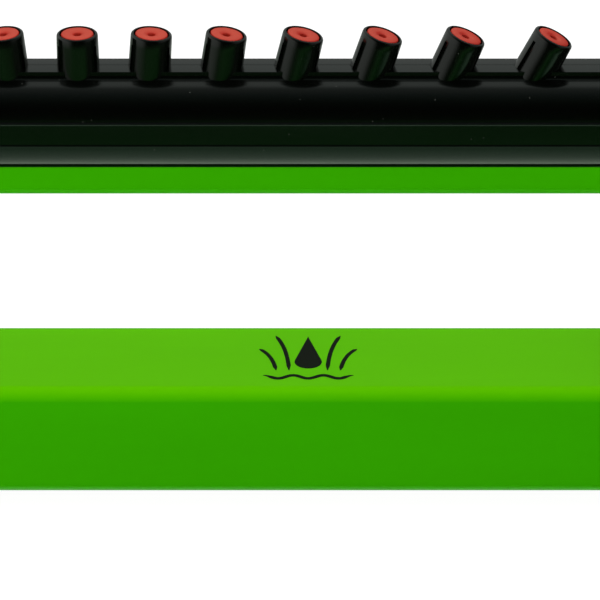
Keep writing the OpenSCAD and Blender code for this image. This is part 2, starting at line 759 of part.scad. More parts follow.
module foot(x) {
    wall = 2.6;
    color(black) translate([x, 0, 0]) difference() {
        union() {
            difference() {
                intersection() {
                    along_x(-foot_w / 2, foot_w / 2) foot_outline(0);
                    linear_extrude(60) foot_plan(0);
                }
                intersection() {
                    along_x(-foot_w, foot_w) foot_outline(wall);
                    translate([0, 0, -2]) linear_extrude(60) foot_plan(wall);
                }
            }
            intersection() {
                along_x(-foot_w / 2, foot_w / 2) foot_outline(0);
                union() {
                    // saddle floor, peg and pad bosses, and cross ribs
                    translate([-foot_w / 2, -beam_w / 2 - saddle, 0]) cube([foot_w, beam_w + 2 * saddle, beam_z]);
                    for (s = [-1, 1]) {
                        translate([0, s * peg_y, 0]) cylinder(h = 20, r = peg_r + 2.4);
                        translate([0, s * pad_y, 0]) cylinder(h = 20, r = 10);
                        translate([-foot_w / 2, s * (beam_w / 2 + saddle + 12), 0]) cube([foot_w, 2, 30]);
                    }
                }
            }
        }
        translate([-foot_w, -beam_w / 2, beam_z]) cube([2 * foot_w, beam_w, 60]);
        for (s = [-1, 1]) {
            translate([0, s * peg_y, -1]) cylinder(h = 30, r = peg_r);
            translate([0, s * pad_y, -1]) cylinder(h = 5, r = 8);
        }
        foot_screw_holes(x);
    }
}

// screws that hold the foot to the beam, kept clear of the post's and the housing's own screws
function foot_screw_x(x) = x < 0 ? [x + 12] : [x - 6, x + 6];
module foot_screw_holes(x) {
    for (at = foot_screw_x(x), s = [-1, 1]) translate([at - x, s * 9, -1]) {
        cylinder(h = 10, r = 1.8);
        cylinder(h = 1 + 4, r = 3.9);
    }
    if (x < 0) for (s = [-1, 1]) translate([(post_x0 + post_x1) / 2 - x, s * 9, -1]) {
        cylinder(h = 10, r = 4.2);
    }
    else translate([192 - x, 0, -1]) cylinder(h = 10, r = 4.2);
}
module left_foot() { foot(left_foot_x); }
module right_foot() { foot(right_foot_x); }

module foot_pads() {
    color(rubber) for (x = [left_foot_x, right_foot_x], s = [-1, 1]) translate([x, s * pad_y, 0]) {
        cylinder(h = 4, r = 7.9);
    }
}

module pivot_post() {
    boss_r = 14;
    color(black) difference() {
        union() {
            along_x(post_x0, post_x1) {
                translate([0, axis_z]) circle(boss_r);
                polygon([[-boss_r, axis_z], [boss_r, axis_z], [beam_w / 2 - 0.5, beam_top], [-beam_w / 2 + 0.5, beam_top]]);
            }
            translate([post_x0 - 3, -beam_w / 2 - saddle + 0.9, beam_top]) cube([post_x1 - post_x0 + 10, beam_w + 2 * saddle - 1.8, 4]);
            for (s = [-1, 1]) translate([post_x0 - 3, s > 0 ? beam_w / 2 : -beam_w / 2 - saddle + 0.9, beam_top - skirt_h])
                cube([post_x1 - post_x0 + 10, saddle - 0.9, skirt_h + 1]);
            // rib that braces the post along the beam
            along_rib();
        }
        // panels sunk in both faces
        for (x = [post_x0 - 1, post_x1 - 2.6]) along_x(x, x + 3.6) polygon([
            [-boss_r + 4.5, axis_z - boss_r - 3], [boss_r - 4.5, axis_z - boss_r - 3],
            [beam_w / 2 - 5.5, beam_top + 8], [-beam_w / 2 + 5.5, beam_top + 8]]);
        rod_x(post_x0 - 1, post_x1 + 1, 8, [0, axis_z]);
        for (s = [-1, 1]) translate([(post_x0 + post_x1) / 2, s * 9, beam_top - 1]) cylinder(h = 13, r = 1.6);
    }
}

// triangular gusset from the post to its plate
module along_rib() {
    translate([0, 2, 0]) rotate([90, 0, 0]) linear_extrude(4) polygon([
        [post_x1 - 1, beam_top + 3], [post_x1 + 7, beam_top + 3], [post_x1 + 7, beam_top + 5], [post_x1 - 1, beam_top + 28]]);
}

module post_bush() {
    color(white) difference() {
        union() {
            rod_x(post_x0 - 1.5, post_x1, 8, [0, axis_z]);
            rod_x(post_x0 - 1.5, post_x0, 10, [0, axis_z]);
            rod_x(post_x1, post_x1 + 1.5, 9.6, [0, axis_z]);
        }
        rod_x(post_x0 - 3, post_x1 + 3, trunnion_r + run_gap, [0, axis_z]);
    }
}

// every screw that goes in from below
module base_screws() {
    color(steel) {
        for (x = [146, 192]) translate([x, 0, beam_z]) screw(1.6, beam_h + 3, 3.6);
        for (s = [-1, 1]) translate([(post_x0 + post_x1) / 2, s * 9, beam_z]) screw(1.6, beam_h + 11, 3.6);
        for (foot_x = [left_foot_x, right_foot_x], x = foot_screw_x(foot_x), s = [-1, 1])
            translate([x, s * 9, 4]) screw(1.4, 8, 3.4);
    }
}

base_beam();
beam_caps();
left_foot();
right_foot();
foot_pads();
pivot_post();
post_bush();
base_screws();
housing_shell();
housing_cover();
cover_gasket();
cover_screws();
neck_bush();
neck_seal();
neck_washer();
gear_shafts();
gear_plate();
turbine_case();
jet_plate();
turbine();
gear_a();
gear_b();
bar_upper_shell();
bar_lower_shell();
bar_gasket();
bar_trunnion();
bar_neck();
bar_gear();
neck_clip();
range_ring_a();
range_ring_b();
end_plug();
cleaning_pin();
plug_oring();
trip_lever();
diverter_flap();
flow_knob();
valve_plug();
hose_adapter();
hose_tail();
adapter_washer();
inlet_filter();
for (n = [1:nozzle_count])
    nozzle_insert(n);
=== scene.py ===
# Oscillating lawn sprinkler: the looks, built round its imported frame
import json
import math

import bpy
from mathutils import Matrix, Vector

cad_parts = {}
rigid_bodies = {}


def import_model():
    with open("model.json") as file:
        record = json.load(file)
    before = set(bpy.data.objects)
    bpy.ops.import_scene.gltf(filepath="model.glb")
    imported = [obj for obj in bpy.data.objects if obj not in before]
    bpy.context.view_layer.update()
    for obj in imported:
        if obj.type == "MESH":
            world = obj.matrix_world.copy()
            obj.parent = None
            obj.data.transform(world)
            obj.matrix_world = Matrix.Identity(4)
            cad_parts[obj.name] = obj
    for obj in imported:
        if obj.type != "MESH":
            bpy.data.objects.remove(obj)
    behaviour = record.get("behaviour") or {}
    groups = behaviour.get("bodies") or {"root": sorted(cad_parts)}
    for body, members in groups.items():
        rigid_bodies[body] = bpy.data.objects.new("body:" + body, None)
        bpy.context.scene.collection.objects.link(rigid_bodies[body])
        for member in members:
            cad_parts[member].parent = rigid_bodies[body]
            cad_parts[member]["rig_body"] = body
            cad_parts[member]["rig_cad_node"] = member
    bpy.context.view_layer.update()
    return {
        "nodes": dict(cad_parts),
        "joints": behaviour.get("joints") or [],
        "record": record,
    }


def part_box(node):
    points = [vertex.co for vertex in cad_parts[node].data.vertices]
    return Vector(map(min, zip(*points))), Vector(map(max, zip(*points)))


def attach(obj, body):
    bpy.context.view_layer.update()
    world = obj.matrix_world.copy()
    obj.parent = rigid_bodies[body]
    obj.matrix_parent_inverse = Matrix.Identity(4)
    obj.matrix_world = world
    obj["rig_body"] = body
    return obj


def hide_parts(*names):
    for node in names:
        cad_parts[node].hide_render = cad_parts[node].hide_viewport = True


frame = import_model()
nodes = frame["nodes"]
axisZ = next(j["pos_m"][2] for j in frame["joints"] if j["name"] == "bar_swing")
mm = 0.001
print("frame loaded,", len(nodes), "nodes")


# ---- picking and placing ----

def deselectAll():
    if bpy.context.object and bpy.context.object.mode != "OBJECT":
        bpy.ops.object.mode_set(mode="OBJECT")
    bpy.ops.object.select_all(action="DESELECT")


def pick(*pieces):
    deselectAll()
    for piece in pieces:
        piece.select_set(True)
    bpy.context.view_layer.objects.active = pieces[0]
    return pieces[0]


def applyPlace(piece):
    pick(piece)
    bpy.ops.object.transform_apply(location=True, rotation=True, scale=True)


def applyAll(piece):
    pick(piece)
    for modifier in list(piece.modifiers):
        bpy.ops.object.modifier_apply(modifier=modifier.name)


# selects the faces or edges of the piece being edited whose middle passes the test
def selectWhere(piece, kind, test):
    bpy.ops.mesh.select_mode(type=kind.upper())
    bpy.ops.mesh.select_all(action="DESELECT")
    bpy.ops.object.mode_set(mode="OBJECT")
    mesh = piece.data
    for part in mesh.polygons if kind == "face" else mesh.edges:
        corners = [mesh.vertices[i].co for i in part.vertices]
        middle = sum(corners, Vector()) / len(corners)
        part.select = test(middle, part, corners)
    bpy.ops.object.mode_set(mode="EDIT")


def smoothByAngle(piece, degrees=35):
    pick(piece)
    bpy.ops.object.shade_smooth_by_angle(angle=math.radians(degrees))


# a turned shape: a disc at the first ring, extruded and scaled through the others;
# each ring is (radius, height) in mm
def turned(name, rings, sides=48):
    deselectAll()
    first = rings[0]
    bpy.ops.mesh.primitive_circle_add(
        vertices=sides, radius=first[0] * mm, fill_type="NGON", location=(0, 0, 0))
    piece = bpy.context.object
    piece.name = name
    piece.data.name = name
    bpy.ops.object.mode_set(mode="EDIT")
    bpy.ops.mesh.select_all(action="SELECT")
    bpy.ops.transform.translate(value=(0, 0, first[1] * mm))
    for last, ring in zip(rings, rings[1:]):
        bpy.ops.mesh.extrude_region_move(TRANSFORM_OT_translate={"value": (0, 0, (ring[1] - last[1]) * mm)})
        size = ring[0] / last[0]
        bpy.ops.transform.resize(value=(size, size, 1), center_override=(0, 0, ring[1] * mm))
    bpy.ops.mesh.select_all(action="SELECT")
    bpy.ops.mesh.normals_make_consistent(inside=False)
    bpy.ops.object.mode_set(mode="OBJECT")
    return piece


# an outline in Y and Z, in mm, extruded along X
def extruded(name, outline, x0, x1):
    deselectAll()
    bpy.ops.mesh.primitive_circle_add(
        vertices=len(outline), radius=1, fill_type="NGON", location=(0, 0, 0))
    piece = bpy.context.object
    piece.name = name
    piece.data.name = name
    for vertex, point in zip(piece.data.vertices, outline):
        vertex.co = (x0 * mm, point[0] * mm, point[1] * mm)
    bpy.ops.object.mode_set(mode="EDIT")
    bpy.ops.mesh.select_all(action="SELECT")
    bpy.ops.mesh.extrude_region_move(TRANSFORM_OT_translate={"value": ((x1 - x0) * mm, 0, 0)})
    bpy.ops.mesh.select_all(action="SELECT")
    bpy.ops.mesh.normals_make_consistent(inside=False)
    bpy.ops.object.mode_set(mode="OBJECT")
    return piece


def roundEdges(piece, width, segments=3, angle=30, clamp=True):
    bevel = piece.modifiers.new("roundEdges", "BEVEL")
    bevel.width = width * mm
    bevel.segments = segments
    bevel.limit_method = "ANGLE"
    bevel.angle_limit = math.radians(angle)
    bevel.use_clamp_overlap = clamp
    weigh = piece.modifiers.new("weighNormals", "WEIGHTED_NORMAL")
    weigh.keep_sharp = True
    applyAll(piece)


# how far points are merged, in metres, and how flat a joint between faces has to be, in degrees
cleanUp = {"merge": 0.000004, "mergeShort": 0.00002, "flat": 0.6}


# a copy of a CAD node with its sharp edges rounded off, which stands for it; where short edges would
# hold every bevel back to nothing, they are merged further and the clamp is left off
def softCopy(nodeName, pieceName, width, segments=2, angle=35, shortEdges=False):
    source = nodes[nodeName]
    pick(source)
    bpy.ops.object.duplicate()
    piece = bpy.context.object
    piece.name = pieceName
    piece.data.name = pieceName
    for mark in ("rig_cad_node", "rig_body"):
        if mark in piece:
            del piece[mark]
    piece.parent = None
    pick(piece)
    bpy.ops.object.mode_set(mode="EDIT")
    bpy.ops.mesh.select_all(action="SELECT")
    bpy.ops.mesh.remove_doubles(threshold=cleanUp["mergeShort" if shortEdges else "merge"])
    bpy.ops.mesh.customdata_custom_splitnormals_clear()
    bpy.ops.mesh.dissolve_limited(angle_limit=math.radians(cleanUp["flat"]))
    bpy.ops.object.mode_set(mode="OBJECT")
    smoothByAngle(piece, angle)
    roundEdges(piece, width, segments, angle, not shortEdges)
    return piece


def dress(piece, body, material, slotName, *standsFor):
    piece.data.materials.clear()
    piece.data.materials.append(material)
    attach(piece, body)
    if standsFor:
        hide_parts(*standsFor)
    return piece


# ---- camera, light and floor ----

cameraLook = {"lens": 180, "pitch": 28, "x": -0.0024, "back": 0.6732, "aboveAxis": 0.307}
bpy.ops.object.camera_add(
    location=(cameraLook["x"], -cameraLook["back"], axisZ + cameraLook["aboveAxis"]),
    rotation=(math.radians(90 - cameraLook["pitch"]), 0, 0))
camera = bpy.context.object
camera.name = "camera"
camera.data.lens = cameraLook["lens"]
camera.data.sensor_width = 36
camera.data.clip_start = 0.02
camera.data.clip_end = 60
bpy.context.scene.camera = camera
bpy.context.scene.view_settings.view_transform = "Standard"


def newNode(tree, kind, at=(0, 0), **values):
    node = tree.nodes.new(kind)
    node.location = at
    for name, value in values.items():
        setattr(node, name, value)
    return node


def newMaterial(name):
    material = bpy.data.materials.new(name)
    material.use_nodes = True
    material.node_tree.nodes.clear()
    return material, material.node_tree


studio = {"fill": 0.1, "backdrop": 1.0, "floorGlow": 0.97, "floorShade": 0.14, "floorBounce": 0.6,
          "floorSize": 80, "floorDrop": 0.0002, "aimHeight": 0.07}

# what shows in reflections, by degrees above the horizon: in front, behind, and at the sides
surround = {
    "front": [(-90, (2.8, 3.4, 2.6)), (-61, (5.2, 6.8, 4.9)), (-54, (1.45, 1.8, 1.45)),
              (-47, (0.5, 0.74, 0.54)), (-38, (0.32, 0.56, 0.36)), (-33, (0.2, 0.42, 0.24)),
              (-29.5, (0.0, 0.045, 0.0)), (-27, (0.0, 0.06, 0.0)), (-24.5, (0.01, 0.14, 0.015)),
              (-22, (0.08, 0.32, 0.08)), (-18, (0.04, 0.1, 0.04)), (-12, (0.003, 0.003, 0.003)),
              (25, (0.003, 0.003, 0.003)), (44, (0.012, 0.022, 0.016)), (60, (0.04, 0.06, 0.05)),
              (78, (0.09, 0.12, 0.11)), (90, (0.15, 0.18, 0.16))],
    "behind": [(-90, (2.3, 2.6, 2.2)), (-50, (0.6, 0.65, 0.6)), (-10, (0.33, 0.36, 0.34)),
               (20, (0.34, 0.37, 0.35)), (28, (0.32, 0.36, 0.34)), (36, (0.46, 0.52, 0.48)),
               (60, (0.5, 0.56, 0.52)), (68, (0.46, 0.51, 0.48)), (76, (0.26, 0.3, 0.28)),
               (90, (0.15, 0.18, 0.16))],
    "left": [(-90, (2.0, 2.1, 2.0)), (-50, (0.2, 0.25, 0.2)), (-29, (0.015, 0.09, 0.015)),
             (-22, (0.06, 0.16, 0.06)), (-10, (0.5, 0.54, 0.5)), (25, (0.7, 0.75, 0.7)),
             (45, (0.5, 0.55, 0.5)), (65, (0.2, 0.22, 0.2)), (90, (0.2, 0.23, 0.21))],
    "right": [(-90, (2.0, 2.1, 2.0)), (-50, (0.2, 0.25, 0.2)), (-29, (0.01, 0.02, 0.01)),
              (-10, (0.05, 0.06, 0.05)), (20, (0.25, 0.27, 0.25)), (50, (0.15, 0.16, 0.15)),
              (90, (0.2, 0.23, 0.21))],
}

# where one part of the surround gives way to the next: part, direction, and where the blend starts and ends
surroundBlends = (("behind", "Y", -0.25, 0.35), ("left", "X", -0.3, -0.85), ("right", "X", 0.55, 0.85))


# a soft studio: even fill for matt light, a pale backdrop to the camera, and the surround in reflections
def makeWorld():
    world = bpy.data.worlds.new("paleStudio")
    bpy.context.scene.world = world
    world.use_nodes = True
    tree = world.node_tree
    tree.nodes.clear()
    link = tree.links.new
    way = newNode(tree, "ShaderNodeTexCoord", (-1100, -200))
    parts = newNode(tree, "ShaderNodeSeparateXYZ", (-900, -200))
    height = newNode(tree, "ShaderNodeMath", (-700, -200), operation="ARCSINE")
    rise = newNode(tree, "ShaderNodeMapRange", (-500, -200))
    rise.inputs["From Min"].default_value = -math.pi / 2
    rise.inputs["From Max"].default_value = math.pi / 2
    link(way.outputs["Generated"], parts.inputs[0])
    link(parts.outputs["Z"], height.inputs[0])
    link(height.outputs[0], rise.inputs["Value"])
    ramps = {}
    for row, (side, stopsList) in enumerate(surround.items()):
        ramp = newNode(tree, "ShaderNodeValToRGB", (-250, -300 * row))
        stops = ramp.color_ramp.elements
        while len(stops) > 1:
            stops.remove(stops[-1])
        for k, (degrees, colour) in enumerate(stopsList):
            stop = stops[0] if k == 0 else stops.new((degrees + 90) / 180)
            stop.position = (degrees + 90) / 180
            stop.color = colour + (1,)
        link(rise.outputs[0], ramp.inputs[0])
        ramps[side] = ramp
    whole = ramps["front"].outputs[0]
    for side, axis, low, high in surroundBlends:
        part = newNode(tree, "ShaderNodeMapRange", (50, -200), interpolation_type="SMOOTHSTEP")
        part.inputs["From Min"].default_value = low
        part.inputs["From Max"].default_value = high
        blend = newNode(tree, "ShaderNodeMix", (200, -300), data_type="RGBA")
        link(parts.outputs[axis], part.inputs["Value"])
        link(part.outputs[0], blend.inputs[0])
        link(whole, blend.inputs[6])
        link(ramps[side].outputs[0], blend.inputs[7])
        whole = blend.outputs[2]
    path = newNode(tree, "ShaderNodeLightPath", (-100, 300))
    shine = newNode(tree, "ShaderNodeMix", (300, 0), data_type="RGBA")
    shine.inputs[6].default_value = (studio["fill"],) * 3 + (1,)
    seen = newNode(tree, "ShaderNodeMix", (500, 0), data_type="RGBA")
    seen.inputs[7].default_value = (studio["backdrop"],) * 3 + (1,)
    back = newNode(tree, "ShaderNodeBackground", (700, 0))
    out = newNode(tree, "ShaderNodeOutputWorld", (900, 0))
    link(path.outputs["Is Glossy Ray"], shine.inputs[0])
    link(whole, shine.inputs[7])
    link(path.outputs["Is Camera Ray"], seen.inputs[0])
    link(shine.outputs[2], seen.inputs[6])
    link(seen.outputs[2], back.inputs["Color"])
    link(back.outputs[0], out.inputs[0])


def makeFloor():
    deselectAll()
    bpy.ops.mesh.primitive_plane_add(size=studio["floorSize"], location=(0, 0, -studio["floorDrop"]))
    floor = bpy.context.object
    floor.name = "floor"
    material, tree = newMaterial("paleFloor")
    link = tree.links.new
    path = newNode(tree, "ShaderNodeLightPath")
    diffuse = newNode(tree, "ShaderNodeBsdfDiffuse", (100, 0))
    diffuse.inputs["Color"].default_value = (studio["floorBounce"],) * 3 + (1,)
    pale = newNode(tree, "ShaderNodeEmission", (100, -300))
    pale.inputs["Strength"].default_value = studio["floorGlow"]
    shade = newNode(tree, "ShaderNodeBsdfDiffuse", (100, -500))
    shade.inputs["Color"].default_value = (studio["floorShade"],) * 3 + (1,)
    seen = newNode(tree, "ShaderNodeAddShader", (300, -400))
    mixSeen = newNode(tree, "ShaderNodeMixShader", (500, 0))
    out = newNode(tree, "ShaderNodeOutputMaterial", (700, 0))
    link(pale.outputs[0], seen.inputs[0])
    link(shade.outputs[0], seen.inputs[1])
    link(path.outputs["Is Camera Ray"], mixSeen.inputs[0])
    link(diffuse.outputs[0], mixSeen.inputs[1])
    link(seen.outputs[0], mixSeen.inputs[2])
    link(mixSeen.outputs[0], out.inputs[0])
    floor.data.materials.append(material)
    floor.visible_glossy = False


# each lamp: place, size, strength in watts and tint
lamps = {
    "overhead": {"at": (0.5, 0.1, 2.4), "size": (3.6, 3.4), "watts": 112, "tint": (1.0, 0.99, 0.96)},
    "keyLeft": {"at": (-0.72, -0.72, 0.39), "size": (0.68, 0.53), "watts": 4.2, "tint": (1.0, 0.8, 0.74)},
    "fillRight": {"at": (2.3, -1.2, 1.2), "size": (1.4, 1.2), "watts": 5, "tint": (0.55, 1.0, 0.9)},
}


def makeLamps():
    for name, look in lamps.items():
        bpy.ops.object.light_add(type="AREA", location=look["at"])
        lamp = bpy.context.object
        lamp.name = name
        lamp.data.shape = "RECTANGLE"
        lamp.data.size, lamp.data.size_y = look["size"]
        lamp.data.energy = look["watts"]
        lamp.data.color = look["tint"]
        lamp.rotation_mode = "QUATERNION"
        aim = Vector((0, 0, studio["aimHeight"])) - Vector(look["at"])
        lamp.rotation_quaternion = aim.to_track_quat("-Z", "Y")
        lamp.visible_camera = False
        lamp.visible_glossy = False  # reflections come from the surround


makeWorld()
makeFloor()
makeLamps()
print("studio ready")


# ---- shared material effects ----

# noise scales per metre, except the flow marks', which are stretched along the mould
mouldLook = {"flow": (9, 60, 60), "flowDetail": 4, "flowRough": 0.55, "grainDetail": 2, "peel": 130,
             "peelDetail": 1, "grainShare": 0.22}


# moulded surface: faint flow marks, fine grain and a slow drift of gloss
def makeMouldSkin():
    group = bpy.data.node_groups.new("mouldSkin", "ShaderNodeTree")
    face = group.interface
    for name, low, value, high in (("Grain size", 1, 900, 5000), ("Gloss", 0, 0.3, 1),
                                   ("Gloss drift", 0, 0.05, 1)):
        socket = face.new_socket(name=name, in_out="INPUT", socket_type="NodeSocketFloat")
        socket.min_value, socket.default_value, socket.max_value = low, value, high
    for name in ("Tone", "Roughness", "Height"):
        face.new_socket(name=name, in_out="OUTPUT", socket_type="NodeSocketFloat")
    start = newNode(group, "NodeGroupInput", (-900, 0))
    end = newNode(group, "NodeGroupOutput", (700, 0))
    place = newNode(group, "ShaderNodeTexCoord", (-900, -300))
    flow = newNode(group, "ShaderNodeMapping", (-700, -300))
    flow.inputs["Scale"].default_value = mouldLook["flow"]
    marks = newNode(group, "ShaderNodeTexNoise", (-500, -300))
    marks.inputs["Scale"].default_value = 1.0
    marks.inputs["Detail"].default_value = mouldLook["flowDetail"]
    marks.inputs["Roughness"].default_value = mouldLook["flowRough"]
    grain = newNode(group, "ShaderNodeTexNoise", (-500, -600))
    grain.inputs["Detail"].default_value = mouldLook["grainDetail"]
    peel = newNode(group, "ShaderNodeTexNoise", (-500, -850))
    peel.inputs["Scale"].default_value = mouldLook["peel"]
    peel.inputs["Detail"].default_value = mouldLook["peelDetail"]
    drift = newNode(group, "ShaderNodeMath", (-250, 0), operation="SUBTRACT")
    drift.inputs[1].default_value = 0.5
    scaled = newNode(group, "ShaderNodeMath", (-50, 0), operation="MULTIPLY")
    rough = newNode(group, "ShaderNodeMath", (150, 0), operation="ADD")
    rough.use_clamp = True
    small = newNode(group, "ShaderNodeMath", (-250, -600), operation="MULTIPLY")
    small.inputs[1].default_value = mouldLook["grainShare"]
    height = newNode(group, "ShaderNodeMath", (0, -700), operation="ADD")
    link = group.links.new
    link(place.outputs["Object"], flow.inputs["Vector"])
    link(flow.outputs[0], marks.inputs["Vector"])
    link(place.outputs["Object"], grain.inputs["Vector"])
    link(place.outputs["Object"], peel.inputs["Vector"])
    link(start.outputs["Grain size"], grain.inputs["Scale"])
    link(marks.outputs[0], drift.inputs[0])
    link(drift.outputs[0], scaled.inputs[0])
    link(start.outputs["Gloss drift"], scaled.inputs[1])
    link(scaled.outputs[0], rough.inputs[0])
    link(start.outputs["Gloss"], rough.inputs[1])
    link(grain.outputs[0], small.inputs[0])
    link(small.outputs[0], height.inputs[0])
    link(peel.outputs[0], height.inputs[1])
    link(marks.outputs[0], end.inputs["Tone"])
    link(rough.outputs[0], end.inputs["Roughness"])
    link(height.outputs[0], end.inputs["Height"])
    return group


speckLook = {"outer": 0.06, "inner": 0.03}  # how far a speck reaches from its middle, in cells


# sparse specks of dust
def makeDust():
    group = bpy.data.node_groups.new("dustSpecks", "ShaderNodeTree")
    face = group.interface
    for name, value in (("Speck size", 900.0), ("Amount", 0.06)):
        socket = face.new_socket(name=name, in_out="INPUT", socket_type="NodeSocketFloat")
        socket.default_value = value
    face.new_socket(name="Mask", in_out="OUTPUT", socket_type="NodeSocketFloat")
    start = newNode(group, "NodeGroupInput", (-900, 0))
    end = newNode(group, "NodeGroupOutput", (700, 0))
    place = newNode(group, "ShaderNodeTexCoord", (-900, -300))
    cells = newNode(group, "ShaderNodeTexVoronoi", (-600, -200))
    cells.feature = "F1"
    cells.inputs["Randomness"].default_value = 1
    near = newNode(group, "ShaderNodeMapRange", (-350, -200))
    near.inputs["From Min"].default_value = speckLook["outer"]
    near.inputs["From Max"].default_value = speckLook["inner"]
    chance = newNode(group, "ShaderNodeSeparateColor", (-350, -450))
    rare = newNode(group, "ShaderNodeMath", (-150, -450), operation="LESS_THAN")
    both = newNode(group, "ShaderNodeMath", (100, -300), operation="MULTIPLY")
    link = group.links.new
    link(place.outputs["Object"], cells.inputs["Vector"])
    link(start.outputs["Speck size"], cells.inputs["Scale"])
    link(cells.outputs["Distance"], near.inputs["Value"])
    link(cells.outputs["Color"], chance.inputs[0])
    link(chance.outputs[0], rare.inputs[0])
    link(start.outputs["Amount"], rare.inputs[1])
    link(near.outputs[0], both.inputs[0])
    link(rare.outputs[0], both.inputs[1])
    link(both.outputs[0], end.inputs["Mask"])
    return group


mouldSkin = makeMouldSkin()
dustSpecks = makeDust()


def placeGroup(tree, group, at, **values):
    node = newNode(tree, "ShaderNodeGroup", at)
    node.node_tree = group
    for name, value in values.items():
        node.inputs[name.replace("_", " ")].default_value = value
    return node


# ---- materials ----

bumpDepth = 0.0001  # metres
toneSpan = (0.3, 0.7)  # the flow marks' own range


# plastic in two colours with painted light: the top shade where the surface faces up and the side shade where
# it turns away, a painted lit top and painted shade on the sides
def makePlastic(name, look):
    material, tree = newMaterial(name)
    link = tree.links.new
    shader = newNode(tree, "ShaderNodeBsdfPrincipled", (700, 0))
    shader.inputs["Specular IOR Level"].default_value = look["shine"]
    shader.inputs["Specular Tint"].default_value = look["tint"] + (1,)
    shader.inputs["IOR"].default_value = look["ior"]
    out = newNode(tree, "ShaderNodeOutputMaterial", (1000, 0))
    skin = placeGroup(tree, mouldSkin, (-500, -100), Grain_size=look["grain"], Gloss=look["rough"],
                      Gloss_drift=look["drift"])
    # painted light: how far the surface faces up picks between the painted side shade and the painted top
    # shade
    up = newNode(tree, "ShaderNodeTexCoord", (-700, 300))
    upness = newNode(tree, "ShaderNodeSeparateXYZ", (-500, 300))
    paintedLightMask = newNode(tree, "ShaderNodeMapRange", (-300, 300))
    paintedLightMask.inputs["From Min"].default_value = look["turn"][0]
    paintedLightMask.inputs["From Max"].default_value = look["turn"][1]
    shades = newNode(tree, "ShaderNodeMix", (0, 300), data_type="RGBA")
    shades.inputs[6].default_value = look["paintedSideShade"] + (1,)
    shades.inputs[7].default_value = look["paintedTopShade"] + (1,)
    tone = newNode(tree, "ShaderNodeMapRange", (0, 0))
    tone.inputs["From Min"].default_value = toneSpan[0]
    tone.inputs["From Max"].default_value = toneSpan[1]
    tone.inputs["To Min"].default_value = 1 - look["mottle"]
    tone.inputs["To Max"].default_value = 1 + look["mottle"]
    tinted = newNode(tree, "ShaderNodeVectorMath", (200, 200), operation="SCALE")
    dust = placeGroup(tree, dustSpecks, (-100, -300), Speck_size=look["speckSize"], Amount=look["dust"])
    dusted = newNode(tree, "ShaderNodeMix", (420, 100), data_type="RGBA")
    dusted.inputs[7].default_value = look["dustShade"] + (1,)
    bump = newNode(tree, "ShaderNodeBump", (400, -300))
    bump.inputs["Strength"].default_value = look["bump"]
    bump.inputs["Distance"].default_value = bumpDepth
    link(up.outputs["Normal"], upness.inputs[0])
    link(upness.outputs["Z"], paintedLightMask.inputs["Value"])
    link(paintedLightMask.outputs[0], shades.inputs[0])
    link(skin.outputs["Tone"], tone.inputs["Value"])
    link(shades.outputs[2], tinted.inputs[0])
    link(tone.outputs[0], tinted.inputs["Scale"])
    link(tinted.outputs[0], dusted.inputs[6])
    link(dust.outputs["Mask"], dusted.inputs[0])
    link(dusted.outputs[2], shader.inputs["Base Color"])
    link(skin.outputs["Roughness"], shader.inputs["Roughness"])
    link(skin.outputs["Height"], bump.inputs["Height"])
    link(bump.outputs[0], shader.inputs["Normal"])
    link(shader.outputs[0], out.inputs[0])
    return material
